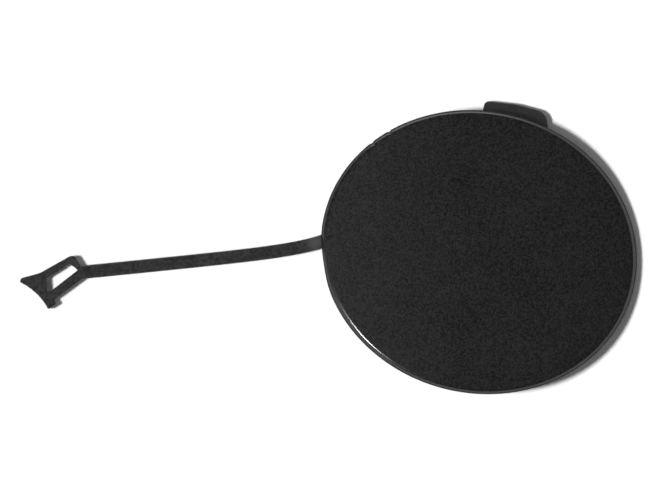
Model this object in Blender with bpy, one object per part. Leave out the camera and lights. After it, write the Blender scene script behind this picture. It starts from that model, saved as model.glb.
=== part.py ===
# Tow hook cover: one plastic moulding with an oval face, a rear skirt with two snap hooks,
# a locating tongue, and a flat strap that ends in an anchor clip.
# +X runs along the long axis of the oval, +Y towards the tongue, and the middle of the back lies
# at Z = 0. The face is bent like the bumper skin around it, with its ends towards -X and +X lower.
import math

import bmesh
import bpy
from mathutils import Vector

MM = 0.001

# Face plate
FACE_LENGTH = 80.4 * MM
FACE_WIDTH = 71.2 * MM
FACE_EDGE = 2.2 * MM
FACE_CROWN = 0.5 * MM
FACE_CROWN_POWER = 4
RIM_RADIUS = 1.6 * MM
LIP_RADIUS = 0.3 * MM

# Bend of the whole face: how far it drops over half the oval's length, and which way it drops
FACE_SAG = 4.9 * MM
BEND_HEADING = math.radians(20.0)

# Skirt on the back, which locates the cover in its opening; its foot is level all round
SKIRT_INSET = 5.8 * MM
SKIRT_WALL = 1.6 * MM
SKIRT_FOOT = 5.65 * MM

# What the hooks and the tongue grip: the bumper skin, from the back of the face to their own faces
PANEL_GRIP = 3.2 * MM

# Two snap hooks, cut free from the skirt by a slot on either side
HOOK_ANGLES = (math.radians(-95.0), math.radians(-51.0))
HOOK_WIDTH = 8.0 * MM
HOOK_REACH = 1.2 * MM
BARB_SHOULDER = 0.3 * MM
SLOT_WIDTH = 1.2 * MM
SLOT_CEILING = 0.9 * MM

# Tongue: its sides start on the skirt at two angles, and its tip has three soft corners
TONGUE_TOP = -3.6 * MM
TONGUE_THICKNESS = 1.8 * MM
TONGUE_START = math.radians(69.5)
TONGUE_END = math.radians(102.3)
TONGUE_TIP_RIGHT = Vector((7.85 * MM, 3.05 * MM))
TONGUE_TIP_MIDDLE = Vector((0.1 * MM, 2.95 * MM))
TONGUE_TIP_LEFT = Vector((-7.6 * MM, 1.95 * MM))
TONGUE_CORNER = 1.3 * MM
TONGUE_BOW = 14.0 * MM

# Two small nicks in the rim, left where the mould's side slide closed
NICK_ANGLES = (math.radians(135.9), math.radians(145.6))
NICK_RADIUS = 0.45 * MM
NICK_DEPTH = 0.2 * MM

# Strap: it leaves a boss under the rim, turns into its straight run and rises to its own level
STRAP_WIDTH = 3.35 * MM
STRAP_THICKNESS = 1.6 * MM
STRAP_EDGE_RADIUS = 0.45 * MM
STRAP_LENGTH = 66.5 * MM
STRAP_ANGLE = math.radians(187.75)
STRAP_HEADING = math.radians(199.52)
STRAP_ROOT_TURN = math.radians(12.6)
STRAP_HIDDEN_RUN = 5.2 * MM
STRAP_SETTLE = 8.1 * MM
STRAP_ROOT_LEVEL = -4.6 * MM
STRAP_RUN_LEVEL = -4.2 * MM
STRAP_RISE_START = 3.0 * MM
STRAP_RISE_LENGTH = 20.0 * MM
BOSS_RADIUS = 2.0 * MM
BOSS_STANDOFF = 0.6 * MM
BOSS_TOP = -2.9 * MM
BOSS_FOOT = -5.55 * MM

# Anchor clip, in its own plane: U along the clip away from the strap, V across it
CLIP_THICKNESS = 1.8 * MM
CLIP_TURN = math.radians(26.9)
CLIP_OVERLAP = 0.5 * MM
FRAME_START = -0.7 * MM
FRAME_TOP = 5.1 * MM
FRAME_TOP_FLARE = 0.5 * MM
FRAME_BOTTOM = -1.45 * MM
FRAME_BOTTOM_FLARE = 0.6 * MM
FRAME_CHAMFER = Vector((0.95 * MM, -0.65 * MM))
FRAME_CORNER = 0.3 * MM
WING_ROOT = 9.0 * MM
WING_BEND = 5.0 * MM
BARB_ROOT = 9.75 * MM
BARB_STEP = 1.25 * MM
TAIL_LOWER = Vector((12.2 * MM, -3.3 * MM))
TAIL_UPPER = Vector((14.6 * MM, 6.45 * MM))
TAIL_BLUNT = Vector((-0.9 * MM, 0.6 * MM))
TAIL_HOLLOW = 0.75 * MM
WINDOW_START = 1.0 * MM
WINDOW_LENGTH = 8.4 * MM
WINDOW_TOP = 3.55 * MM
WINDOW_BOTTOM = 1.05 * MM
WINDOW_RAKE = 0.85 * MM
WINDOW_SLANT_START = 0.45 * MM
WINDOW_SLANT_END = 0.9 * MM
WINDOW_CORNER = 0.5 * MM

# How finely round stretches are cut into flats
OVAL_STEPS = 96
RIM_STEPS = 6
LIP_STEPS = 2
CORNER_STEPS = 4
TAIL_STEPS = 8
TONGUE_ROOT_STEPS = 6
STRAP_STEPS = 44
FACE_RINGS = (0.05, 0.2, 0.35, 0.5, 0.65, 0.78, 0.89, 1.0)
BACK_RINGS = (1.0, 0.85, 0.7, 0.55, 0.4, 0.27)
BACK_LAND = 0.2

# How far joined shapes run into each other
EMBED = 0.6 * MM

PLASTIC_COLOUR = (0.018, 0.018, 0.018, 1.0)
PLASTIC_ROUGHNESS = 0.45


def clear_scene():
    for old in list(bpy.data.objects):
        bpy.data.objects.remove(old, do_unlink=True)


def make_collection(name):
    collection = bpy.data.collections.new(name)
    bpy.context.scene.collection.children.link(collection)
    return collection


def make_plastic():
    material = bpy.data.materials.new("black_plastic")
    material.use_nodes = True
    shader = material.node_tree.nodes["Principled BSDF"]
    shader.inputs["Base Color"].default_value = PLASTIC_COLOUR
    shader.inputs["Roughness"].default_value = PLASTIC_ROUGHNESS
    shader.inputs["Metallic"].default_value = 0.0
    return material


def heading_vector(angle):
    return Vector((math.cos(angle), math.sin(angle)))


# Point on the face's oval, moved inwards along the oval's normal by the inset
def oval_normal(angle):
    return Vector((math.cos(angle) * FACE_WIDTH, math.sin(angle) * FACE_LENGTH)).normalized()


def oval_point(angle, inset):
    edge = Vector((math.cos(angle) * FACE_LENGTH / 2, math.sin(angle) * FACE_WIDTH / 2))
    return edge - inset * oval_normal(angle)


# How far the bent face lies below its middle: with the square of the way along the bend
def face_drop(point):
    return FACE_SAG * (point.dot(heading_vector(BEND_HEADING)) / (FACE_LENGTH / 2)) ** 2


def level_ring(inset, height, share=1.0):
    ring = []
    for step in range(OVAL_STEPS):
        flat = share * oval_point(math.tau * step / OVAL_STEPS, inset)
        ring.append(flat.to_3d() + Vector((0.0, 0.0, height)))
    return ring


def bent_ring(inset, height, share=1.0):
    ring = level_ring(inset, height, share)
    return [point - Vector((0.0, 0.0, face_drop(point.to_2d()))) for point in ring]


# Corners with a radius become arcs: each corner is (point, radius)
def round_corners(corners):
    outline = []
    for index, (point, radius) in enumerate(corners):
        before = (corners[index - 1][0] - point).normalized()
        after = (corners[(index + 1) % len(corners)][0] - point).normalized()
        if radius == 0.0:
            outline.append(point)
            continue
        half = before.angle(after) / 2
        middle = point + (before + after).normalized() * radius / math.sin(half)
        first = point + before * radius / math.tan(half) - middle
        turn = math.copysign(math.pi - 2 * half, before.cross(first))
        for step in range(CORNER_STEPS + 1):
            angle = turn * step / CORNER_STEPS
            across = Vector((-first.y, first.x))
            outline.append(middle + first * math.cos(angle) + across * math.sin(angle))
    return outline


# Points of the arc that leaves the chord from start to end by the sagitta, to the chord's left
def arc_points(start, end, sagitta, steps):
    chord = end - start
    left = Vector((-chord.y, chord.x)).normalized()
    radius = (chord.length ** 2 / 4 + sagitta ** 2) / (2 * sagitta)
    middle = (start + end) / 2 + left * (sagitta - radius)
    half = math.asin(chord.length / 2 / radius)
    points = []
    for step in range(1, steps):
        angle = half * (1 - 2 * step / steps)
        along = chord.normalized() * math.sin(angle)
        points.append(middle + radius * (left * math.cos(angle) - along))
    return points


def link_mesh(name, mesh, collection):
    solid = bpy.data.objects.new(name, mesh)
    collection.objects.link(solid)
    return solid


# A closed solid through rings that all have the same number of points, capped at both ends
def loft_rings(name, rings, collection):
    form = bmesh.new()
    loops = [[form.verts.new(point) for point in ring] for ring in rings]
    for lower, upper in zip(loops, loops[1:]):
        for index in range(len(lower)):
            form.faces.new((lower[index - 1], lower[index], upper[index], upper[index - 1]))
    form.faces.new(loops[0])
    form.faces.new(loops[-1])
    bmesh.ops.recalc_face_normals(form, faces=form.faces)
    bmesh.ops.triangulate(form, faces=form.faces)
    mesh = bpy.data.meshes.new(name)
    form.to_mesh(mesh)
    form.free()
    return link_mesh(name, mesh, collection)


# A curve's evaluated shape as a mesh of its own, with its caps welded on
def curve_to_solid(curve_object, collection):
    bpy.context.view_layer.update()
    evaluated = curve_object.evaluated_get(bpy.context.evaluated_depsgraph_get())
    mesh = bpy.data.meshes.new_from_object(evaluated)
    form = bmesh.new()
    form.from_mesh(mesh)
    bmesh.ops.remove_doubles(form, verts=form.verts, dist=0.001 * MM)
    bmesh.ops.recalc_face_normals(form, faces=form.faces)
    form.to_mesh(mesh)
    form.free()
    solid = link_mesh(curve_object.name + "_solid", mesh, collection)
    solid.matrix_world = curve_object.matrix_world
    bpy.data.objects.remove(curve_object, do_unlink=True)
    return solid


def add_outline(curve, points):
    spline = curve.splines.new("POLY")
    spline.points.add(len(points) - 1)
    for target, point in zip(spline.points, points):
        target.co = (point[0], point[1], 0.0, 1.0)
    spline.use_cyclic_u = True


# A flat plate from one outline, or more where it has holes, between two levels
def flat_solid(name, outlines, bottom, top, collection):
    curve = bpy.data.curves.new(name, "CURVE")
    curve.dimensions = "2D"
    curve.fill_mode = "BOTH"
    curve.extrude = (top - bottom) / 2
    for points in outlines:
        add_outline(curve, points)
    plate = bpy.data.objects.new(name, curve)
    plate.location.z = (top + bottom) / 2
    collection.objects.link(plate)
    return curve_to_solid(plate, collection)


# Face height over a point that lies at the given share of the way to the rim: flat in the middle,
# and rolling off faster and faster towards the rim
def face_height(share):
    return FACE_EDGE + FACE_CROWN * (1 - share ** FACE_CROWN_POWER)


# Face and skirt in one loft: over the crown, round the rim, under it, down and up the skirt,
# and along the back to a small level land in its middle
def make_face(name, collection):
    rings = [bent_ring(RIM_RADIUS, face_height(share), share) for share in FACE_RINGS]
    for step in range(1, RIM_STEPS + 1):
        angle = math.pi / 2 * step / RIM_STEPS
        inset = RIM_RADIUS * (1 - math.sin(angle))
        rings.append(bent_ring(inset, FACE_EDGE - RIM_RADIUS * (1 - math.cos(angle))))
    for step in range(LIP_STEPS + 1):
        angle = math.pi / 2 * step / LIP_STEPS
        rings.append(bent_ring(LIP_RADIUS * (1 - math.cos(angle)), LIP_RADIUS * (1 - math.sin(angle))))
    inner = SKIRT_INSET + SKIRT_WALL
    rings.append(bent_ring(SKIRT_INSET, 0.0))
    rings.append(level_ring(SKIRT_INSET, -SKIRT_FOOT))
    rings.append(level_ring(inner, -SKIRT_FOOT))
    rings += [bent_ring(inner, 0.0, share) for share in BACK_RINGS]
    rings.append(level_ring(inner, 0.0, BACK_LAND))
    return loft_rings(name, rings, collection)


# Tongue outline: along the middle of the skirt's wall, then round the tip
def make_tongue(collection):
    corners = []
    root_inset = SKIRT_INSET + SKIRT_WALL / 2
    for step in range(TONGUE_ROOT_STEPS + 1):
        angle = TONGUE_END + (TONGUE_START - TONGUE_END) * step / TONGUE_ROOT_STEPS
        corners.append((oval_point(angle, root_inset), 0.0))
    rim = Vector((0.0, FACE_WIDTH / 2))
    corners.append((rim + TONGUE_TIP_RIGHT, TONGUE_CORNER))
    corners.append((rim + TONGUE_TIP_MIDDLE, TONGUE_BOW))
    corners.append((rim + TONGUE_TIP_LEFT, TONGUE_CORNER))
    bottom = TONGUE_TOP - TONGUE_THICKNESS
    return flat_solid("tongue", [round_corners(corners)], bottom, TONGUE_TOP, collection)


# Turns a solid so that its local X points out of the oval at the angle, with its origin at the inset
def place_on_oval(solid, angle, inset):
    outwards = oval_normal(angle)
    solid.location = oval_point(angle, inset).to_3d()
    solid.rotation_euler.z = math.atan2(outwards.y, outwards.x)


# Barb: a wedge on the skirt's outer wall, flat on top and run out to nothing at the skirt's foot
def make_barb(name, angle, collection):
    top = -face_drop(oval_point(angle, 0.0)) - PANEL_GRIP
    profile = [
        Vector((-EMBED, top)),
        Vector((HOOK_REACH, top)),
        Vector((HOOK_REACH, top - LIP_RADIUS)),
        Vector((-EMBED / 2, -SKIRT_FOOT + LIP_RADIUS)),
        Vector((-EMBED, -SKIRT_FOOT + LIP_RADIUS)),
    ]
    half_width = HOOK_WIDTH / 2 - BARB_SHOULDER
    barb = flat_solid(name, [profile], -half_width, half_width, collection)
    barb.data.transform(barb.matrix_world)
    barb.matrix_world.identity()
    place_on_oval(barb, angle, SKIRT_INSET)
    barb.rotation_euler.x = math.pi / 2
    return barb


def add_box(name, size, collection):
    bpy.ops.mesh.primitive_cube_add(size=1.0)
    box = bpy.context.active_object
    box.name = name
    for old in list(box.users_collection):
        old.objects.unlink(box)
    collection.objects.link(box)
    for vertex in box.data.vertices:
        vertex.co = Vector((vertex.co.x * size[0], vertex.co.y * size[1], vertex.co.z * size[2]))
    return box


# Slot through the skirt's wall, on one side of a hook and open at the skirt's foot
def make_slot(name, angle, side, collection):
    ceiling = -face_drop(oval_point(angle, SKIRT_INSET)) - SLOT_CEILING
    height = ceiling + SKIRT_FOOT + EMBED
    slot = add_box(name, (SKIRT_WALL + 2 * EMBED, SLOT_WIDTH, height), collection)
    place_on_oval(slot, angle, SKIRT_INSET + SKIRT_WALL / 2)
    along = Vector((-math.sin(slot.rotation_euler.z), math.cos(slot.rotation_euler.z), 0.0))
    slot.location += along * side * (HOOK_WIDTH + SLOT_WIDTH) / 2
    slot.location.z = ceiling - height / 2
    return slot


def add_cylinder(name, radius, bottom, top, steps, collection):
    form = bmesh.new()
    bmesh.ops.create_cone(
        form, cap_ends=True, segments=steps, radius1=radius, radius2=radius, depth=top - bottom
    )
    bmesh.ops.translate(form, verts=form.verts, vec=(0.0, 0.0, (top + bottom) / 2))
    mesh = bpy.data.meshes.new(name)
    form.to_mesh(mesh)
    form.free()
    return link_mesh(name, mesh, collection)


def strap_start():
    return oval_point(STRAP_ANGLE, SKIRT_INSET - BOSS_STANDOFF)


# Way of the strap's middle line after the given length: its turn fades out behind the rim
def strap_heading(length):
    past_rim = max(0.0, length - STRAP_HIDDEN_RUN)
    return STRAP_HEADING + STRAP_ROOT_TURN * math.exp(-past_rim / STRAP_SETTLE)


# Height of the strap's middle line: an S-shaped step from the root's level to the run's
def strap_height(length):
    share = min(1.0, max(0.0, (length - STRAP_RISE_START) / STRAP_RISE_LENGTH))
    smooth = share * share * (3 - 2 * share)
    return STRAP_ROOT_LEVEL + (STRAP_RUN_LEVEL - STRAP_ROOT_LEVEL) * smooth


def strap_route():
    point = strap_start()
    step_length = STRAP_LENGTH / STRAP_STEPS
    route = [point.to_3d() + Vector((0.0, 0.0, strap_height(0.0)))]
    for step in range(STRAP_STEPS):
        middle = (step + 0.5) * step_length
        point = point + heading_vector(strap_heading(middle)) * step_length
        height = strap_height((step + 1) * step_length)
        route.append(point.to_3d() + Vector((0.0, 0.0, height)))
    return route


# Flat strap: a rounded rectangle carried along the route, run on a little into the clip
def make_strap(collection):
    section_curve = bpy.data.curves.new("strap_section", "CURVE")
    half_width = STRAP_WIDTH / 2
    half_thickness = STRAP_THICKNESS / 2
    section_corners = [
        (Vector((-half_width, -half_thickness)), STRAP_EDGE_RADIUS),
        (Vector((half_width, -half_thickness)), STRAP_EDGE_RADIUS),
        (Vector((half_width, half_thickness)), STRAP_EDGE_RADIUS),
        (Vector((-half_width, half_thickness)), STRAP_EDGE_RADIUS),
    ]
    add_outline(section_curve, round_corners(section_corners))
    section = bpy.data.objects.new("strap_section", section_curve)
    collection.objects.link(section)

    route = strap_route()
    run_on = heading_vector(strap_heading(STRAP_LENGTH)).to_3d() * CLIP_OVERLAP
    route.append(route[-1] + run_on)
    curve = bpy.data.curves.new("strap", "CURVE")
    curve.dimensions = "3D"
    curve.twist_mode = "Z_UP"
    curve.bevel_mode = "OBJECT"
    curve.bevel_object = section
    curve.use_fill_caps = True
    spline = curve.splines.new("POLY")
    spline.points.add(len(route) - 1)
    for target, point in zip(spline.points, route):
        target.co = (point.x, point.y, point.z, 1.0)
    strap = bpy.data.objects.new("strap", curve)
    collection.objects.link(strap)
    solid = curve_to_solid(strap, collection)
    bpy.data.objects.remove(section, do_unlink=True)
    return solid


def clip_outline():
    frame_foot = FRAME_BOTTOM - FRAME_BOTTOM_FLARE
    corners = [
        (Vector((-FRAME_START, FRAME_BOTTOM)), 0.0),
        (Vector((BARB_ROOT, frame_foot)), FRAME_CORNER),
        (Vector((BARB_ROOT, frame_foot - BARB_STEP)), FRAME_CORNER),
        (TAIL_LOWER, FRAME_CORNER),
    ]
    corners += [(point, 0.0) for point in arc_points(TAIL_LOWER, TAIL_UPPER, TAIL_HOLLOW, TAIL_STEPS)]
    corners += [
        (TAIL_UPPER, FRAME_CORNER),
        (TAIL_UPPER + TAIL_BLUNT, FRAME_CORNER),
        (Vector((WING_ROOT, FRAME_TOP + FRAME_TOP_FLARE)), WING_BEND),
        (Vector((FRAME_START + FRAME_CHAMFER.x, FRAME_TOP)), FRAME_CORNER),
        (Vector((FRAME_START, FRAME_TOP + FRAME_CHAMFER.y)), FRAME_CORNER),
        (Vector((FRAME_START, STRAP_WIDTH / 2)), 0.0),
    ]
    return round_corners(corners)


def clip_window():
    start = WINDOW_START
    end = WINDOW_START + WINDOW_LENGTH
    corners = [
        (Vector((start - WINDOW_SLANT_START, WINDOW_BOTTOM)), WINDOW_CORNER),
        (Vector((end + WINDOW_SLANT_END, WINDOW_BOTTOM - WINDOW_RAKE)), WINDOW_CORNER),
        (Vector((end - WINDOW_SLANT_END, WINDOW_TOP)), WINDOW_CORNER),
        (Vector((start + WINDOW_SLANT_START, WINDOW_TOP)), WINDOW_CORNER),
    ]
    return round_corners(corners)


# The clip's U axis turns on from the strap's last heading, and V lies to its right,
# so that the frame's top edge is the one that faces the tongue's side of the face
def make_clip(collection):
    turn = strap_heading(STRAP_LENGTH) + CLIP_TURN
    along = heading_vector(turn)
    across = Vector((along.y, -along.x))
    end = strap_route()[-1]

    def to_plan(points):
        return [end.to_2d() + along * point.x + across * point.y for point in points]

    outlines = [to_plan(clip_outline()), to_plan(clip_window())]
    half = CLIP_THICKNESS / 2
    return flat_solid("clip", outlines, end.z - half, end.z + half, collection)


def add_boolean(target, other, operation):
    modifier = target.modifiers.new(other.name, "BOOLEAN")
    modifier.operation = operation
    modifier.solver = "EXACT"
    modifier.object = other
    other.hide_render = True
    other.display_type = "WIRE"


def build_cover():
    clear_scene()
    parts = make_collection("tow_hook_cover")
    tools = make_collection("shaping_tools")
    cover = make_face("cover", parts)

    joined = [make_tongue(tools)]
    cut = []
    for angle in HOOK_ANGLES:
        joined.append(make_barb("barb", angle, tools))
        cut.append(make_slot("slot", angle, -1, tools))
        cut.append(make_slot("slot", angle, 1, tools))
    boss = add_cylinder("strap_boss", BOSS_RADIUS, BOSS_FOOT, BOSS_TOP, 24, tools)
    boss.location = strap_start().to_3d()
    joined.append(boss)
    joined.append(make_strap(tools))
    joined.append(make_clip(tools))
    for angle in NICK_ANGLES:
        nick = add_cylinder("nick", NICK_RADIUS, -SKIRT_FOOT, FACE_EDGE + FACE_CROWN, 12, tools)
        nick.location = oval_point(angle, NICK_DEPTH - NICK_RADIUS).to_3d()
        cut.append(nick)

    for piece in joined:
        add_boolean(cover, piece, "UNION")
    for tool in cut:
        add_boolean(cover, tool, "DIFFERENCE")
    cover.data.materials.append(make_plastic())
    cover.data.shade_smooth()
    cover.data.set_sharp_from_angle(angle=math.radians(32.0))


build_cover()
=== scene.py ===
# Looks for the tow hook cover: one dark moulding with a bent oval face, a skirt with two snap
# hooks, a tongue, and a flat strap that ends in a fishtail clip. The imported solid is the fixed
# frame, and the moulding drawn here stands in its place with rounded edges and four finishes.
import math

import bpy
import numpy as np
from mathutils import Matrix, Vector


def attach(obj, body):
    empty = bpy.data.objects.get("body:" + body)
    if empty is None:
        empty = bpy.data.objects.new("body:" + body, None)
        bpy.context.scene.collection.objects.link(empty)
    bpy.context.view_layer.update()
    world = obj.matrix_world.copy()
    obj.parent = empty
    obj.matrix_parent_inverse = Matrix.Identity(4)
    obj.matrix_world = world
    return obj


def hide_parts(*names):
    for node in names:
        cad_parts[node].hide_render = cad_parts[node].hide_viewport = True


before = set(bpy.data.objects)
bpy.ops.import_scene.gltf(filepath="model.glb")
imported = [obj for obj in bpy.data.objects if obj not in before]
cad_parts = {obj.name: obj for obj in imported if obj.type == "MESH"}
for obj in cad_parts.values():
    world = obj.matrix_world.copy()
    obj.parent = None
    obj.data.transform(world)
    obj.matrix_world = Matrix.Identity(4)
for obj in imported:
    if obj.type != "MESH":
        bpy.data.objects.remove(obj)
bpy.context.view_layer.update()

mm = 0.001
filletRows = 6  # rows of points round a small edge
finishNumber = {"face": 0, "bare": 1, "wall": 2, "tongue": 3}


# Unit vectors along the last axis
def unit(vectors):
    return vectors / np.linalg.norm(vectors, axis=-1, keepdims=True)


# Plan and height side by side, as points
def lift(plan, height):
    return np.concatenate([plan, np.broadcast_to(height, plan.shape[:-1])[..., None]], axis=-1)


# Closed outline with soft corners. Each corner P is trimmed at A and B on its two sides, and
# replaced by (1-s)^2 A + 2 s (1-s) P + s^2 B; the straight side that follows is cut evenly.
def softOutline(corners, trims, cornerSteps=6, sideSteps=8):
    corners = np.asarray(corners, float)
    trims = np.asarray(trims, float)[:, None]
    before = corners + unit(np.roll(corners, 1, 0) - corners) * trims
    after = corners + unit(np.roll(corners, -1, 0) - corners) * trims
    s = np.linspace(0, 1, cornerSteps)[None, :, None]
    bends = (1 - s) ** 2 * before[:, None] + 2 * s * (1 - s) * corners[:, None] + s ** 2 * after[:, None]
    t = (np.arange(1, sideSteps + 1) / (sideSteps + 1))[None, :, None]
    sides = after[:, None] * (1 - t) + np.roll(before, -1, 0)[:, None] * t
    return np.concatenate([bends, sides], axis=1).reshape(-1, 2)


# Normals of a closed plan outline: the chord over both neighbours, turned by a right angle,
# to the outside for an outline that runs anticlockwise
def outlineNormals(outline):
    chord = unit(np.roll(outline, -1, 0) - np.roll(outline, 1, 0))
    return np.stack([chord[:, 1], -chord[:, 0]], axis=1)


# Shell from a grid of points, rows by columns, whose columns close round. Either the rows close
# as well, as on a ring, or the first and last row are closed by a fan to their mean point.
# The signed volume (a sixth of the sum of a . b x c over the triangles) says if it is inside out.
# The finish is one number, or one for each row.
def shellFromGrid(grid, ring=False, finish=finishNumber["bare"]):
    rows, columns = grid.shape[:2]
    points = grid.reshape(-1, 3)
    row = np.arange(rows if ring else rows - 1)[:, None]
    column = np.arange(columns)[None, :]
    nextRow, nextColumn = (row + 1) % rows, (column + 1) % columns
    quads = np.stack([row * columns + column, nextRow * columns + column,
                      nextRow * columns + nextColumn, row * columns + nextColumn], axis=-1).reshape(-1, 4)
    fans = np.zeros((0, 3), int)
    if not ring:
        first, last = len(points), len(points) + 1
        points = np.vstack([points, grid[0].mean(0), grid[-1].mean(0)])
        here, ahead = column[0], (column[0] + 1) % columns
        top = np.stack([here, ahead, np.full(columns, first)], axis=1)
        end = (rows - 1) * columns
        bottom = np.stack([end + ahead, end + here, np.full(columns, last)], axis=1)
        fans = np.vstack([top, bottom])
    triangles = np.vstack([quads[:, :3], quads[:, [0, 2, 3]], fans])
    a, b, c = (points[triangles[:, i]] for i in range(3))
    if np.einsum("ij,ij->i", a, np.cross(b, c)).sum() < 0:
        quads, fans = quads[:, ::-1], fans[:, ::-1]
    rowFinish = np.broadcast_to(finish, rows)
    quadFinish = np.repeat(rowFinish[:len(row)], columns)
    fanFinish = np.repeat([rowFinish[0], rowFinish[-1]], columns)[:len(fans)]
    return {
        "points": points, "quads": quads, "fans": fans,
        "quadFinish": quadFinish, "fanFinish": fanFinish,
    }


# One mesh object from several shells, whose faces carry their finish as material number
def joinShells(name, shells, materials, sharpDegrees=38):
    starts = np.cumsum([0] + [len(shell["points"]) for shell in shells[:-1]])
    points = np.vstack([shell["points"] for shell in shells])
    quads = np.vstack([shell["quads"] + start for shell, start in zip(shells, starts)])
    fans = np.vstack([shell["fans"] + start for shell, start in zip(shells, starts)])
    finish = np.concatenate(
        [shell["quadFinish"] for shell in shells] + [shell["fanFinish"] for shell in shells]
    )
    mesh = bpy.data.meshes.new(name)
    mesh.from_pydata(points.tolist(), [], quads.tolist() + fans.tolist())
    for material in materials:
        mesh.materials.append(material)
    mesh.polygons.foreach_set("material_index", finish.astype(np.int32))
    mesh.shade_smooth()
    mesh.set_sharp_from_angle(angle=math.radians(sharpDegrees))
    mesh.update()
    piece = bpy.data.objects.new(name, mesh)
    bpy.context.scene.collection.objects.link(piece)
    print(name, "has", 2 * len(quads) + len(fans), "triangles in", len(shells), "shells")
    return piece


# Face plate and skirt

facePlate = {
    "length": 80.4 * mm,
    "width": 71.2 * mm,
    "edge": 2.19 * mm,  # height of the face where the rim starts
    "crown": 0.5 * mm,
    "crownPower": 4,
    "sag": 4.9 * mm,  # how far the bend drops over half the length
    "bendHeading": math.radians(20.0),
    "rim": 1.6 * mm,
    "lip": 0.3 * mm,
    "wallTurn": 0.9,  # turn round the rim, in radians, from which its dull wall, darkened as painted shade, begins
    "pole": 0.03,  # share of the oval at which the rows stop beside the middle
    "columns": 560,
    "faceRows": 32,
    "rimRows": 18,
}

skirt = {
    "inset": 5.8 * mm,
    "wall": 1.6 * mm,
    "level": 5.65 * mm,  # its foot, below the middle of the back
    "land": 0.2,  # share of the back that is level
    "landEdge": 0.07,  # share over which the level land goes over into the bend
    "backStart": 0.96,  # share of the first row of the back inside the skirt
    "root": 0.4 * mm,  # fillet where it leaves the back
    "foot": 0.35 * mm,  # rounding of its foot
    "wallRows": 8,
    "backRows": 14,
}

snapHooks = {
    "angles": np.radians([-95.0, -51.0]),
    "width": 8.0 * mm,
    "reach": 1.19 * mm,
    "grip": 3.2 * mm,  # depth of the barb's top below the rim
    "tip": 0.3 * mm,  # height of the barb's outer edge
    "sunk": 0.6 * mm,  # how far the barb's profile goes into the skirt's wall at the top
    "footSunk": 0.3 * mm,  # and at its foot
    "footGap": 0.3 * mm,  # the barb's foot, above the skirt's
    "trims": np.array([0.02, 0.12, 0.12, 0.05, 0.02]) * mm,
    "slot": 1.2 * mm,
    "slotCeiling": 0.9 * mm,
    "slotEdge": 0.0001,  # half the turn, in radians, between the two columns at a slot's side
    "shoulder": 0.3 * mm,
}

rimNicks = {
    "angles": np.radians([137.0, 144.9]),
    "depth": 0.22 * mm,
    "spread": 0.4 * mm,
    "closeTurn": 0.035,  # turn to each side, in radians, with closer columns
    "closeColumns": 29,
}

rimFlat = {
    "angle": math.radians(200.0),
    "depth": 0.37 * mm,
    "spread": 5.5 * mm,
}


# Outward normal of the oval at an angle: (cos a * width, sin a * length), made a unit vector
def ovalNormals(angles):
    across, along = np.cos(angles) * facePlate["width"], np.sin(angles) * facePlate["length"]
    return unit(np.stack([across, along], axis=-1))


# Point of the oval at an angle, (cos a * length / 2, sin a * width / 2), moved inwards along its
# normal by the inset
def ovalPoints(angles, inset):
    x, y = np.cos(angles) * facePlate["length"] / 2, np.sin(angles) * facePlate["width"] / 2
    return np.stack([x, y], axis=-1) - np.asarray(inset)[..., None] * ovalNormals(angles)


# Drop of the bent face below its middle: sag * (way along the bend / half the length)^2
def bendDrop(plan):
    way = plan @ np.array([math.cos(facePlate["bendHeading"]), math.sin(facePlate["bendHeading"])])
    return facePlate["sag"] * (way / (facePlate["length"] / 2)) ** 2


# Face height: edge + crown * (1 - share^power), share being the way from the middle to the rim
def crownHeight(share):
    return facePlate["edge"] + facePlate["crown"] * (1 - share ** facePlate["crownPower"])


# Angles of the grid's columns: even, with closer ones at the nicks and a pair of columns at each
# side of each slot. Returns the angles and, for each, whether it lies in a slot.
def faceColumns():
    even = np.linspace(0, math.tau, facePlate["columns"], endpoint=False)
    beside = np.linspace(-rimNicks["closeTurn"], rimNicks["closeTurn"], rimNicks["closeColumns"])
    close = (np.mod(rimNicks["angles"], math.tau)[:, None] + beside[None]).ravel()
    wallMiddle = np.full(len(snapHooks["angles"]), skirt["inset"] + skirt["wall"] / 2)
    radius = np.linalg.norm(ovalPoints(snapHooks["angles"], wallMiddle), axis=-1)
    inner = snapHooks["width"] / 2 / radius
    outer = (snapHooks["width"] / 2 + snapHooks["slot"]) / radius
    starts = np.mod(np.concatenate([snapHooks["angles"] - outer, snapHooks["angles"] + inner]), math.tau)
    ends = starts + np.concatenate([outer - inner, outer - inner])
    edge = snapHooks["slotEdge"]
    pairs = np.concatenate([starts - edge, starts + edge, ends - edge, ends + edge])
    angles = np.unique(np.round(np.concatenate([even, close, pairs]), 7))
    inSlot = ((angles[:, None] > starts[None]) & (angles[:, None] < ends[None])).any(axis=1)
    return angles, inSlot


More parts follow.
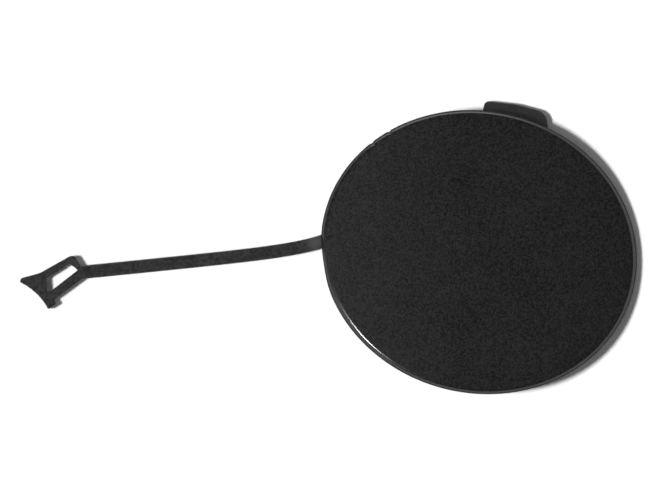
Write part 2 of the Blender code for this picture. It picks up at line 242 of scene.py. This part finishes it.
# Rows of (share, inset, height, follow): over the face, round the rim and lip, along the back,
# down the skirt's outer wall, round its foot, up its inner wall and back to the middle. A row
# with follow 1 lies on the bend and one with follow 0 is level; the walls go from one to the other.
# Round an edge of radius r, inset and height change by r (1 - cos) and r (1 - sin) of its turn.
# Returns the rows, the first one of the rim's dull wall, and how many are on the front.
def faceRows():
    inset, rim, lip = skirt["inset"], facePlate["rim"], facePlate["lip"]
    root, foot, level = skirt["root"], skirt["foot"], skirt["level"]
    inner = inset + skirt["wall"]

    def stretch(share, insetValues, height, follow=1.0):
        return np.stack(np.broadcast_arrays(share, insetValues, height, follow), axis=-1).astype(float)

    shares = np.linspace(facePlate["pole"], 1.0, facePlate["faceRows"])
    turn = np.linspace(0, math.pi / 2, facePlate["rimRows"] + 1)[1:]
    beyond = 1 + rim * np.sin(turn) / (facePlate["length"] / 2 - rim)
    rimInset = rim * (1 - np.sin(turn))
    rimHeight = crownHeight(beyond) - rim * (1 - np.cos(turn))
    bend = np.linspace(0, math.pi / 2, filletRows)
    down = np.linspace(0, 1, skirt["wallRows"])[1:-1]
    backShares = np.linspace(skirt["backStart"], skirt["land"] + skirt["landEdge"], skirt["backRows"])
    landShares = np.linspace(skirt["land"], facePlate["pole"], 4)
    wallHeight = -root + (root + foot - level) * down
    front = [
        stretch(shares, rim, crownHeight(shares)),
        stretch(1.0, rimInset, rimHeight),
        stretch(1.0, lip * (1 - np.cos(bend)), lip * (1 - np.sin(bend))),
    ]
    back = [
        stretch(1.0, np.linspace(lip, inset - root, 5)[1:-1], 0.0),
        stretch(1.0, inset - root + root * np.sin(bend), -root * (1 - np.cos(bend))),
        stretch(1.0, inset, wallHeight, 1 - down),
        stretch(1.0, inset + foot * (1 - np.cos(bend)), -level + foot * (1 - np.sin(bend)), 0.0),
        stretch(1.0, inner - foot + foot * np.sin(bend), -level + foot * (1 - np.cos(bend)), 0.0),
        stretch(1.0, inner, wallHeight[::-1], down),
        stretch(1.0, inner + root * (1 - np.cos(bend)), -root * (1 - np.sin(bend))),
        stretch(backShares, inner + root, 0.0),
        stretch(landShares, inner + root, 0.0, 0.0),
    ]
    rows = np.vstack(front + back)
    wallStart = len(shares) + int((turn < facePlate["wallTurn"]).sum())
    frontCount = sum(len(part) for part in front)
    return rows, wallStart, frontCount


# Distance along the oval from an angle, nearly: the turn from it times the oval's mean radius
def ovalGap(angles, middle):
    meanRadius = facePlate["length"] / 2.1
    return np.angle(np.exp(1j * (angles - middle))) * meanRadius


# Face grid: point = share * oval(angle, inset), z = height - follow * drop. In a slot the skirt's
# rows are pulled up to the slot's ceiling. At a nick, and at the flat beside the strap, the inset
# grows by depth * exp(-(gap / spread)^2), times the root of the way round the rim.
def faceShell():
    angles, inSlot = faceColumns()
    rows, wallStart, frontCount = faceRows()
    share, inset, height, follow = (rows[:, i][:, None] for i in range(4))
    nick = ovalGap(angles[:, None], rimNicks["angles"][None]) / rimNicks["spread"]
    flat = ovalGap(angles, rimFlat["angle"]) / rimFlat["spread"]
    cut = rimNicks["depth"] * np.exp(-nick ** 2).sum(axis=1) + rimFlat["depth"] * np.exp(-flat ** 2)
    number = np.arange(len(rows))
    roundRim = np.clip((facePlate["rim"] - inset) / facePlate["rim"], 0, 1)
    onRim = np.sqrt(roundRim) * (number < frontCount)[:, None]
    cutInset = inset + cut[None, :] * onRim
    plan = share[..., None] * ovalPoints(np.broadcast_to(angles, (len(rows), len(angles))), cutInset)
    drop = bendDrop(plan)
    z = height - follow * drop
    raised = -drop + (z + drop) * snapHooks["slotCeiling"] / (skirt["level"] - drop)
    z = np.where(inSlot[None, :] & (height < 0), raised, z)
    frontFinish = np.where(number >= wallStart, finishNumber["wall"], finishNumber["face"])
    finish = np.where(number >= frontCount, finishNumber["bare"], frontFinish)
    return shellFromGrid(lift(plan, z), finish=finish)


# Barb of a snap hook: its profile (reach beyond the skirt, height) carried along the skirt's arc
def barbShell(middle, steps=24):
    top = -snapHooks["grip"] - bendDrop(ovalPoints(middle, 0.0))
    reach, sunk, footSunk = snapHooks["reach"], -snapHooks["sunk"], -snapHooks["footSunk"]
    foot = snapHooks["footGap"] - skirt["level"]
    corners = [(sunk, top), (reach, top), (reach, top - snapHooks["tip"]), (footSunk, foot), (sunk, foot)]
    profile = softOutline(corners, snapHooks["trims"], cornerSteps=4, sideSteps=4)
    radius = np.linalg.norm(ovalPoints(np.array([middle]), np.array([skirt["inset"]])))
    half = (snapHooks["width"] / 2 - snapHooks["shoulder"]) / radius
    angles = np.linspace(middle - half, middle + half, steps)[:, None]
    plan = ovalPoints(np.broadcast_to(angles, (steps, len(profile))), skirt["inset"] - profile[None, :, 0])
    return shellFromGrid(lift(plan, np.broadcast_to(profile[None, :, 1], plan.shape[:2])))


# Tongue

tongue = {
    "top": -3.6 * mm,
    "thickness": 1.8 * mm,
    "start": math.radians(69.5),
    "end": math.radians(102.3),
    "tipRight": (8.3 * mm, 2.85 * mm),  # from the top of the oval
    "tipMiddle": (0.1 * mm, 2.95 * mm),
    "tipLeft": (-7.6 * mm, 1.95 * mm),
    "cornerRight": 2.8 * mm,
    "cornerMiddle": 1.2 * mm,
    "cornerLeft": 1.3 * mm,
    "cornerRoot": 0.05 * mm,
    "rootPoints": 9,
    "edge": 0.25 * mm,
    "flatShares": [0.05, 0.35, 0.7],  # rows on the flat, from its middle to its edge
}


# Slab from a plan outline: rows grow from the middle to the outline, round over its edge, go
# down and come back below. Round edge: inset = r (1 - cos b), height = top - r (1 - sin b).
def slabShell(outline, bottom, top, radius, flatShares, finish):
    normals = outlineNormals(outline)
    middle = outline.mean(0)
    bend = np.linspace(math.pi / 2, 0, filletRows)
    inset = np.concatenate([radius * (1 - np.cos(bend)), radius * (1 - np.cos(bend[::-1]))])
    height = np.concatenate([top - radius * (1 - np.sin(bend)), bottom + radius * (1 - np.sin(bend[::-1]))])
    wall = outline[None] - inset[:, None, None] * normals[None]
    flat = middle + (wall[0] - middle)[None] * np.array(flatShares)[:, None, None]
    plan = np.concatenate([flat, wall, flat[::-1]])
    heights = np.concatenate([np.full(len(flat), top), height, np.full(len(flat), bottom)])
    return shellFromGrid(lift(plan, np.broadcast_to(heights[:, None], plan.shape[:2])), finish=finish)


# Tongue outline: along the middle of the skirt's wall, then round the three corners of the tip
def tongueShell():
    rootInset = skirt["inset"] + skirt["wall"] / 2
    rootAngles = np.linspace(tongue["end"], tongue["start"], tongue["rootPoints"])
    root = ovalPoints(rootAngles, np.full(len(rootAngles), rootInset))
    rim = np.array([0.0, facePlate["width"] / 2])
    tip = rim + np.array([tongue["tipRight"], tongue["tipMiddle"], tongue["tipLeft"]])
    tipTrims = [tongue["cornerRight"], tongue["cornerMiddle"], tongue["cornerLeft"]]
    trims = np.array([tongue["cornerRoot"]] * len(root) + tipTrims)
    outline = softOutline(np.vstack([root, tip]), trims, cornerSteps=8, sideSteps=4)
    top, bottom = tongue["top"], tongue["top"] - tongue["thickness"]
    return slabShell(outline, bottom, top, tongue["edge"], tongue["flatShares"], finishNumber["tongue"])


# Strap

strap = {
    "width": 3.35 * mm,
    "thickness": 1.6 * mm,
    "edge": 0.45 * mm,
    "length": 66.5 * mm,
    "angle": math.radians(187.75),  # of the boss that it leaves, round the oval
    "heading": math.radians(199.52),
    "rootTurn": math.radians(12.6),
    "hiddenRun": 5.2 * mm,
    "settle": 8.1 * mm,
    "rootLevel": -4.6 * mm,
    "runLevel": -4.2 * mm,
    "riseStart": 3.0 * mm,
    "riseLength": 20.0 * mm,
    "runOn": 0.5 * mm,
    "flare": 3.0 * mm,  # length over which it grows to the clip's thickness
    "proud": 0.006,  # share by which its end is thicker than the clip, so no faces coincide
    "standoff": 0.6 * mm,
    "bossRadius": 2.0 * mm,
    "bossRound": 0.4 * mm,
    "bossTop": -2.9 * mm,
    "bossFoot": -5.55 * mm,
}


# Heading after a length: the run's heading + root turn * exp(-(length past the rim) / settle)
def strapHeading(length):
    pastRim = np.maximum(0, length - strap["hiddenRun"])
    return strap["heading"] + strap["rootTurn"] * np.exp(-pastRim / strap["settle"])


# Height of the middle line: a smooth step (3 s^2 - 2 s^3) from the root's level to the run's
def strapHeight(length):
    s = np.clip((length - strap["riseStart"]) / strap["riseLength"], 0, 1)
    return strap["rootLevel"] + (strap["runLevel"] - strap["rootLevel"]) * s * s * (3 - 2 * s)


# Middle of the boss: the oval's point at the strap's angle, inset by the skirt's less the standoff
def strapStart():
    return ovalPoints(np.array([strap["angle"]]), np.array([skirt["inset"] - strap["standoff"]]))[0]


# Middle line: the running sum of (cos heading, sin heading) * step, from the boss
def strapLine(steps=264):
    step = strap["length"] / steps
    heading = strapHeading((np.arange(steps) + 0.5) * step)
    moves = np.stack([np.cos(heading), np.sin(heading)], axis=1) * step
    plan = strapStart() + np.vstack([np.zeros(2), np.cumsum(moves, axis=0)])
    return lift(plan, strapHeight(np.arange(steps + 1) * step))


# Strap: a rounded rectangle (across, up) carried along the line, run on a little into the clip.
# Over the flare its thickness grows to the clip's: u^2 (3 - 2 u), u being the way through it.
def strapShell():
    line = strapLine()
    end = strapHeading(strap["length"])
    line = np.vstack([line, line[-1] + np.array([math.cos(end), math.sin(end), 0]) * strap["runOn"]])
    ahead = unit(np.gradient(line, axis=0))
    across = unit(np.stack([-ahead[:, 1], ahead[:, 0], np.zeros(len(line))], axis=1))
    up = np.cross(ahead, across)
    w, h, r = strap["width"] / 2, strap["thickness"] / 2, strap["edge"]
    section = softOutline([(-w, -h), (w, -h), (w, h), (-w, h)], [r] * 4, cornerSteps=7, sideSteps=3)
    steps = len(line) - 2
    left = np.maximum(0, steps - np.arange(len(line))) * strap["length"] / steps
    u = np.clip(1 - left / strap["flare"], 0, 1)
    thicker = fishtail["thickness"] / strap["thickness"] + strap["proud"] - 1
    growth = 1 + thicker * u ** 2 * (3 - 2 * u)
    height = section[None, :, 1:] * growth[:, None, None]
    grid = line[:, None] + section[None, :, :1] * across[:, None] + height * up[:, None]
    return shellFromGrid(grid)


# Boss under the rim that the strap leaves: a turned post with a round foot, its profile
# (radius, height) carried round by (cos, sin) of an even turn
def bossShell(columns=48, pole=0.05 * mm):
    r, foot, top, bottom = strap["bossRadius"], strap["bossRound"], strap["bossTop"], strap["bossFoot"]
    bend = np.linspace(0, math.pi / 2, filletRows)
    radius = np.concatenate([[pole, r], r - foot * (1 - np.cos(bend)), [0.5 * r, pole]])
    height = np.concatenate([[top, top], bottom + foot * (1 - np.sin(bend)), [bottom, bottom]])
    around = np.linspace(0, math.tau, columns, endpoint=False)
    plan = strapStart() + radius[:, None, None] * np.stack([np.cos(around), np.sin(around)], axis=1)[None]
    return shellFromGrid(lift(plan, np.broadcast_to(height[:, None], plan.shape[:2])))


# Fishtail clip, in mm in its own plane: u along the clip away from the strap, v across it. The
# outline and the window have the same number of corners, so that a corner of one answers a
# corner of the other.

fishtail = {
    "thickness": 1.8 * mm,
    "turn": math.radians(26.9),
    "edge": 0.25 * mm,
    "outline": [
        (0.7, -1.45), (9.75, -2.05), (9.75, -3.3), (12.2, -3.3), (11.94, 1.94), (14.6, 6.45),
        (13.7, 7.05), (9.0, 5.6), (4.5, 5.35), (0.25, 5.1), (-0.7, 4.45), (-0.7, 1.67),
    ],
    "outlineTrims": [0.3, 0.25, 0.3, 0.4, 4.75, 0.4, 0.3, 0.7, 0.1, 0.3, 0.3, 0.3],
    "window": [
        (0.55, 1.05), (8.6, 0.34), (9.6, 0.26), (10.3, 0.2), (9.4, 1.87), (8.75, 3.07),
        (8.5, 3.55), (7.9, 3.55), (4.6, 3.55), (1.45, 3.55), (1.1, 2.6), (0.85, 1.85),
    ],
    "windowTrims": [0.45, 0.1, 0.1, 0.45, 0.1, 0.1, 0.4, 0.1, 0.1, 0.45, 0.1, 0.1],
}


# Clip ring: point = (1 - b) * outline + b * window, b running across the top face, down the
# window's wall, back below and up the outer wall, with both edges rounded by a small radius
def clipShell(steps=7):
    outline, window = np.array(fishtail["outline"]) * mm, np.array(fishtail["window"]) * mm
    outer = softOutline(outline, np.array(fishtail["outlineTrims"]) * mm, steps, steps)
    inner = softOutline(window, np.array(fishtail["windowTrims"]) * mm, steps, steps)
    outerNormals, innerNormals = outlineNormals(outer), outlineNormals(inner)
    half, r = fishtail["thickness"] / 2, fishtail["edge"]
    bend = np.linspace(0, math.pi / 2, filletRows)
    inset, height = r * (1 - np.cos(bend)), half - r * (1 - np.sin(bend))
    outerTop = lift(outer[None] - inset[:, None, None] * outerNormals[None], height[:, None])
    innerTop = lift(inner[None] + inset[:, None, None] * innerNormals[None], height[:, None])
    b = np.linspace(0, 1, steps)[1:-1, None, None]
    across = (1 - b) * outerTop[-1][None] + b * innerTop[-1][None]
    over = np.concatenate([outerTop, across, innerTop[::-1]])
    grid = np.concatenate([over, (over * np.array([1, 1, -1]))[::-1]])
    turn = strapHeading(strap["length"]) + fishtail["turn"]
    along = np.array([math.cos(turn), math.sin(turn)])
    side = np.array([along[1], -along[0]])
    end = strapLine()[-1]
    plan = end[:2] + grid[..., :1] * along + grid[..., 1:2] * side
    return shellFromGrid(lift(plan, end[2] + grid[..., 2]), ring=True)


# Finishes

faceFinish = {
    "dark": (0.0005, 0.0005, 0.0005),
    "light": (0.0213, 0.0213, 0.0213),
    "contrast": 0.125,
    "ior": 1.5,
    "specular": 0.75,
    "roughness": (0.17, 0.23),
    "grain": 0.37 * mm,
    "bump": 0.004 * mm,
}

bareFinish = {
    "dark": (0.0010, 0.0010, 0.0011),
    "light": (0.0270, 0.0270, 0.0255),
    "contrast": 0.06,
    "ior": 1.5,
    "specular": 1.0,
    "roughness": (0.46, 0.60),
    "grain": 0.56 * mm,
    "bump": 0.018 * mm,
    "paintedLightAt": (-40.9 * mm, -7.5 * mm, -4.0 * mm),  # middle of the painted light on the strap beside the rim, where its slope catches the key lamp
    "paintedLightReach": (0.6 * mm, 2.9 * mm),  # fully painted light up to the first, as elsewhere from the second
    "paintedLight": (0.054, 0.054, 0.052),
}

# Rim's outer wall: rougher and less glossy than the face, and darker in colour than the face as painted
# shade along the rim's edge
wallFinish = {
    "dark": (0.0005, 0.0005, 0.0005),
    "light": (0.0080, 0.0080, 0.0080),
    "contrast": 0.12,
    "ior": 1.5,
    "specular": 0.2,
    "roughness": (0.55, 0.65),
    "grain": 0.42 * mm,
    "bump": 0.006 * mm,
}

# Tongue: the bare plastic made darker in colour and more reflective (IOR 1.85) than the rest, a painted
# sheen that evens out the rim's cast shadow across it
tongueFinish = {
    "dark": (0.0005, 0.0005, 0.0005),
    "light": (0.0200, 0.0200, 0.0195),
    "contrast": 0.085,
    "ior": 1.85,
    "specular": 1.0,
    "roughness": (0.50, 0.64),
    "grain": 0.5 * mm,
    "bump": 0.010 * mm,
}


# The same on all four: a speckle and a slow drift that together mix the dark and light tones
plasticPattern = {
    "speckleShare": 0.8,
    "driftShare": 0.13,
    "driftSize": 14 * mm,
    "plainContrast": 0.2,  # noise values this far from a half count as its ends
    "roughnessSize": 1.4,  # times the grain
    "seeds": {"speckle": 1.3, "drift": 7.1, "roughness": 4.7, "bump": 2.9},
}


# A value mapped from start..end to low..high, evenly or with soft ends
def mapRange(tree, value, start, end, low, high, kind="LINEAR"):
    node = tree.nodes.new("ShaderNodeMapRange")
    node.interpolation_type = kind
    for socket, number in zip(("From Min", "From Max", "To Min", "To Max"), (start, end, low, high)):
        node.inputs[socket].default_value = number
    tree.links.new(value, node.inputs["Value"])
    return node.outputs["Result"]


# Two colours mixed by a factor; either may be a socket or a colour
def mixColours(tree, factor, first, second):
    node = tree.nodes.new("ShaderNodeMix")
    node.data_type = "RGBA"
    for socket, colour in (("A", first), ("B", second)):
        if isinstance(colour, tuple):
            node.inputs[socket].default_value = (*colour, 1.0)
        else:
            tree.links.new(colour, node.inputs[socket])
    tree.links.new(factor, node.inputs["Factor"])
    return node.outputs["Result"]


# Moulded plastic: base colour = dark + (light - dark) * (speckle + drift), and a fine grain in
# roughness and bump. Where the look has a spot of painted light, the colour fades to it with the distance.
def mouldedPlastic(name, look):
    material = bpy.data.materials.new(name)
    material.use_nodes = True
    tree = material.node_tree
    nodes, links = tree.nodes, tree.links
    seeds, contrast = plasticPattern["seeds"], plasticPattern["plainContrast"]
    shader = nodes["Principled BSDF"]
    shader.inputs["Metallic"].default_value = 0.0
    shader.inputs["IOR"].default_value = look["ior"]
    shader.inputs["Specular IOR Level"].default_value = look["specular"]
    place = nodes.new("ShaderNodeTexCoord")

    def noise(size, detail, seed):
        node = nodes.new("ShaderNodeTexNoise")
        node.noise_dimensions = "4D"
        node.inputs["W"].default_value = seed
        node.inputs["Scale"].default_value = 1 / size
        node.inputs["Detail"].default_value = detail
        links.new(place.outputs["Object"], node.inputs["Vector"])
        return node.outputs["Fac"]

    def spread(value, low, high, contrast):
        return mapRange(tree, value, 0.5 - contrast, 0.5 + contrast, low, high)

    speckleNoise = noise(look["grain"], detail=2.0, seed=seeds["speckle"])
    driftNoise = noise(plasticPattern["driftSize"], detail=2.0, seed=seeds["drift"])
    total = nodes.new("ShaderNodeMath")
    total.operation = "ADD"
    links.new(spread(speckleNoise, 0.0, plasticPattern["speckleShare"], look["contrast"]), total.inputs[0])
    links.new(spread(driftNoise, 0.0, plasticPattern["driftShare"], contrast), total.inputs[1])
    colour = mixColours(tree, total.outputs[0], look["dark"], look["light"])
    # Painted light: near the given point the colour fades to a paler one
    if "paintedLightAt" in look:
        away = nodes.new("ShaderNodeVectorMath")
        away.operation = "DISTANCE"
        away.inputs[1].default_value = look["paintedLightAt"]
        links.new(place.outputs["Object"], away.inputs[0])
        fade = mapRange(tree, away.outputs["Value"], *look["paintedLightReach"], 1.0, 0.0, "SMOOTHSTEP")
        colour = mixColours(tree, fade, colour, look["paintedLight"])
    links.new(colour, shader.inputs["Base Color"])
    roughnessSize = look["grain"] * plasticPattern["roughnessSize"]
    roughnessNoise = noise(roughnessSize, detail=3.0, seed=seeds["roughness"])
    links.new(spread(roughnessNoise, *look["roughness"], contrast), shader.inputs["Roughness"])
    bump = nodes.new("ShaderNodeBump")
    bump.inputs["Strength"].default_value = 1.0
    bump.inputs["Distance"].default_value = look["bump"]
    links.new(noise(look["grain"], detail=3.0, seed=seeds["bump"]), bump.inputs["Height"])
    links.new(bump.outputs["Normal"], shader.inputs["Normal"])
    return material


facePlastic = mouldedPlastic("face_plastic", faceFinish)
barePlastic = mouldedPlastic("bare_moulding", bareFinish)
wallPlastic = mouldedPlastic("rim_wall_painted_shade", wallFinish)
tonguePlastic = mouldedPlastic("tongue_painted_sheen", tongueFinish)

barbShells = [barbShell(middle) for middle in snapHooks["angles"]]
shells = [faceShell(), *barbShells, tongueShell(), bossShell(), strapShell(), clipShell()]
plastics = [facePlastic, barePlastic, wallPlastic, tonguePlastic]  # in the order of finishNumber
cover = joinShells("hook_cover_moulding", shells, plastics)
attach(cover, "root")
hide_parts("cover")
print("moulding built")


# Studio

studio = {
    "floorLevel": -5.65 * mm,
    "floorSize": 3.0,
    "floorColour": 0.64,
    "keyAzimuth": 173.5,  # clockwise from the picture's right, seen from above
    "keyElevation": 53.5,
    "keyStrength": 3.5,
    "keyAngle": 11.5,
    "glintAzimuth": 148.5,
    "glintElevation": 34.5,
    "glintStrength": 1.4,
    "glintAngle": 4.5,
    "zenith": 0.13,
    "dome": 0.08,
    "zenithRamp": (0.72, 0.95),  # sines of the elevations between which the dome becomes the zenith
    "glow": 0.12,  # soft light round the key lamp
    "glowRamp": (0.85, 1.0),  # cosines of the way from the lamp
    "band": 0.95,  # low band all round, brighter beyond the top and dimmer beyond the left
    "bandRamp": (0.12, 0.42),  # sines of the elevations between which the band ends
    "bandTop": 1.8,
    "bandLeft": -0.95,
    "topAzimuth": 258.0,
    "leftAzimuth": 198.0,
    "sectorRamp": (0.75, 0.95),  # cosines of the way from the top's or left's azimuth
    "pictureTurn": 13.8,
}


# Direction in the row's frame of an azimuth in the picture (clockwise from its right) and an
# elevation: the picture's right is the X axis turned by the picture's turn
def pictureDirection(azimuth, elevation):
    angle = math.radians(studio["pictureTurn"] - azimuth)
    rise = math.radians(elevation)
    return np.array([math.cos(angle) * math.cos(rise), math.sin(angle) * math.cos(rise), math.sin(rise)])


# Sheet of paper under the skirt's foot, one square: white in the picture, and greyer for the
# light that it throws back on the moulding
def makeFloor():
    half = studio["floorSize"] / 2
    mesh = bpy.data.meshes.new("paper_floor")
    corners = [(-half, -half), (half, -half), (half, half), (-half, half)]
    mesh.from_pydata([(x, y, studio["floorLevel"]) for x, y in corners], [], [(0, 1, 2, 3)])
    floor = bpy.data.objects.new("paper_floor", mesh)
    bpy.context.scene.collection.objects.link(floor)
    material = bpy.data.materials.new("white_paper")
    material.use_nodes = True
    tree = material.node_tree
    nodes, links = tree.nodes, tree.links
    nodes.remove(nodes["Principled BSDF"])
    paper = nodes.new("ShaderNodeBsdfDiffuse")
    path = nodes.new("ShaderNodeLightPath")
    grey, white = (studio["floorColour"],) * 3, (1.0, 1.0, 1.0)
    links.new(mixColours(tree, path.outputs["Is Camera Ray"], grey, white), paper.inputs["Color"])
    links.new(paper.outputs["BSDF"], nodes["Material Output"].inputs["Surface"])
    mesh.materials.append(material)


# Lamp far off in the direction that its azimuth and elevation give, with a soft edge
def makeLamp(name):
    light = bpy.data.lights.new(name + "_lamp", "SUN")
    light.energy = studio[name + "Strength"]
    light.angle = math.radians(studio[name + "Angle"])
    lamp = bpy.data.objects.new(name + "_lamp", light)
    bpy.context.scene.collection.objects.link(lamp)
    towards = Vector(pictureDirection(studio[name + "Azimuth"], studio[name + "Elevation"]))
    lamp.rotation_mode = "QUATERNION"
    lamp.rotation_quaternion = towards.to_track_quat("Z", "Y")
    return lamp


# World: a low band, like walls of white paper round a small set, a soft light overhead and a glow
# round the key lamp. Strength = (band + top + left) * low + dome + glow, and at least 1 where the
# camera sees it, so that it is white.
def makeWorld():
    world = bpy.data.worlds.new("studio_world")
    bpy.context.scene.world = world
    world.use_nodes = True
    tree = world.node_tree
    nodes, links = tree.nodes, tree.links
    back = nodes["Background"]
    place = nodes.new("ShaderNodeTexCoord")

    def combine(kind, a, b):
        node = nodes.new("ShaderNodeMath")
        node.operation = kind
        for socket, value in zip(node.inputs, (a, b)):
            if isinstance(value, (int, float)):
                socket.default_value = value
            else:
                links.new(value, socket)
        return node.outputs[0]

    def ramp(value, limits, low, high):
        return mapRange(tree, value, *limits, low, high, "SMOOTHSTEP")

    # Cosine of the way from a direction in the picture
    def towards(azimuth, elevation=0):
        dot = nodes.new("ShaderNodeVectorMath")
        dot.operation = "DOT_PRODUCT"
        links.new(place.outputs["Generated"], dot.inputs[0])
        dot.inputs[1].default_value = pictureDirection(azimuth, elevation)
        return dot.outputs["Value"]

    split = nodes.new("ShaderNodeSeparateXYZ")
    links.new(place.outputs["Generated"], split.inputs[0])
    top = ramp(towards(studio["topAzimuth"]), studio["sectorRamp"], 0.0, studio["bandTop"])
    left = ramp(towards(studio["leftAzimuth"]), studio["sectorRamp"], 0.0, studio["bandLeft"])
    around = combine("ADD", combine("ADD", top, left), studio["band"])
    low = ramp(split.outputs["Z"], studio["bandRamp"], 1.0, 0.0)
    high = ramp(split.outputs["Z"], studio["zenithRamp"], studio["dome"], studio["zenith"])
    toKey = towards(studio["keyAzimuth"], studio["keyElevation"])
    glow = ramp(toKey, studio["glowRamp"], 0.0, studio["glow"])
    level = combine("ADD", combine("ADD", combine("MULTIPLY", around, low), high), glow)
    path = nodes.new("ShaderNodeLightPath")
    shown = combine("MAXIMUM", level, path.outputs["Is Camera Ray"])
    links.new(shown, back.inputs["Strength"])
    back.inputs["Color"].default_value = (1.0, 1.0, 1.0, 1.0)


picture = {
    "middle": (-35.79 * mm, -8.24 * mm),
    "level": 0.4 * mm,  # height of the plane that is at the picture's scale
    "width": 0.2524 * mm * 667,  # size of a pixel, times the picture's pixels
    "distance": 3.0,
    "sensor": 36.0,
}


# Camera straight above, turned with the picture: lens = sensor * distance / width
def makeCamera():
    data = bpy.data.cameras.new("picture_camera")
    camera = bpy.data.objects.new("picture_camera", data)
    bpy.context.scene.collection.objects.link(camera)
    data.sensor_width = picture["sensor"]
    data.lens = picture["sensor"] * picture["distance"] / picture["width"]
    camera.location = (*picture["middle"], picture["level"] + picture["distance"])
    camera.rotation_euler = (0.0, 0.0, math.radians(studio["pictureTurn"]))
    bpy.context.scene.camera = camera


makeFloor()
makeLamp("key").visible_glossy = False  # the key lights, and the glint lamp is what shines back
makeLamp("glint").visible_diffuse = False
makeWorld()
makeCamera()
bpy.context.scene.view_settings.view_transform = "Standard"
print("studio set")
